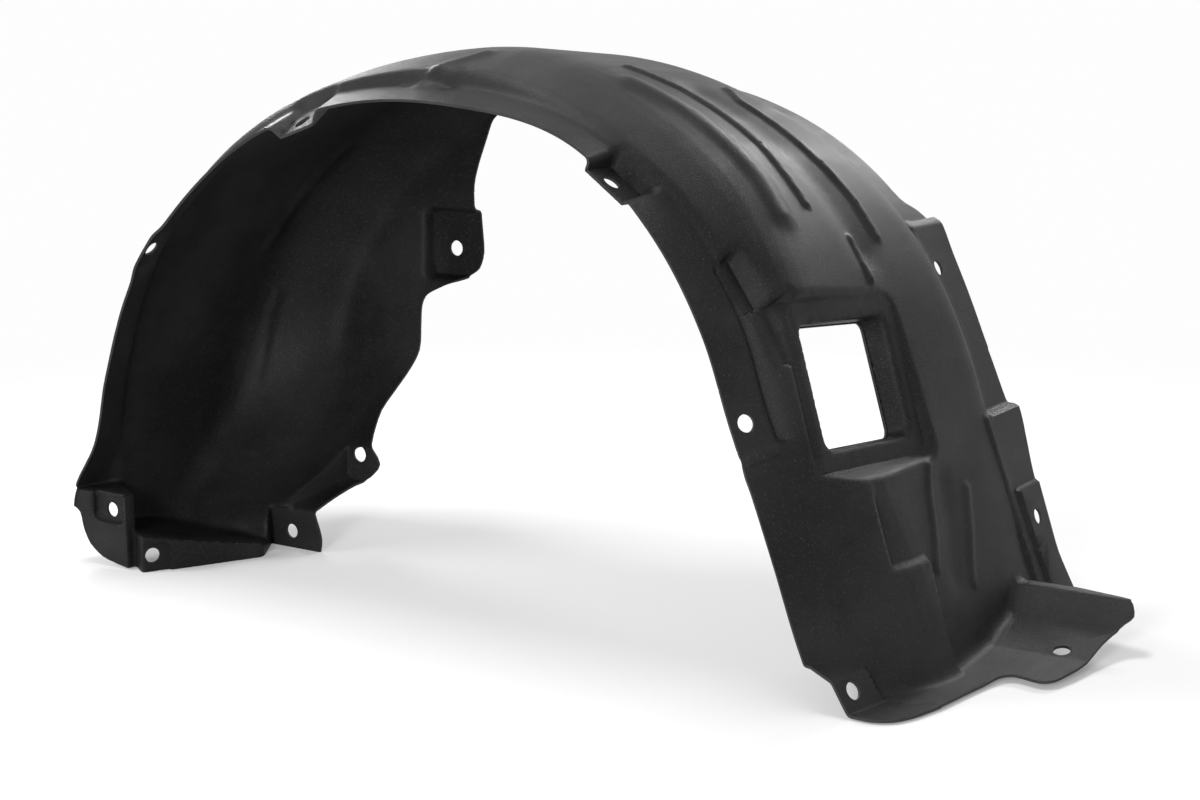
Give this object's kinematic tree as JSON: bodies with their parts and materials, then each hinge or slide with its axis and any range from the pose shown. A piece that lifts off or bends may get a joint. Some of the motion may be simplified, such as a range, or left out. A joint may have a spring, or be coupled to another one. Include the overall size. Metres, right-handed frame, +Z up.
{
  "type": "wheel arch liner",
  "caption": "Formed plastic wheel arch liner: a half-round sheet with a near rim, a side wall on one leg, clip pads, a window and a shelf foot.",
  "frame": {"origin": "on the ground under the middle of the liner, which stands on both feet", "axes": "+X across the arch towards the leg that ends in the shelf, +Y from the near rim into the car, +Z up; the wheel axis runs along Y"},
  "size_m": [0.976, 0.398, 0.5006],
  "materials": {
    "liner_sheet": "fine moulded grain, soft sheen on the folds"
  },
  "bodies": {
    "root": {"wheel_arch_liner": "liner_sheet"}
  },
  "joints": []
}
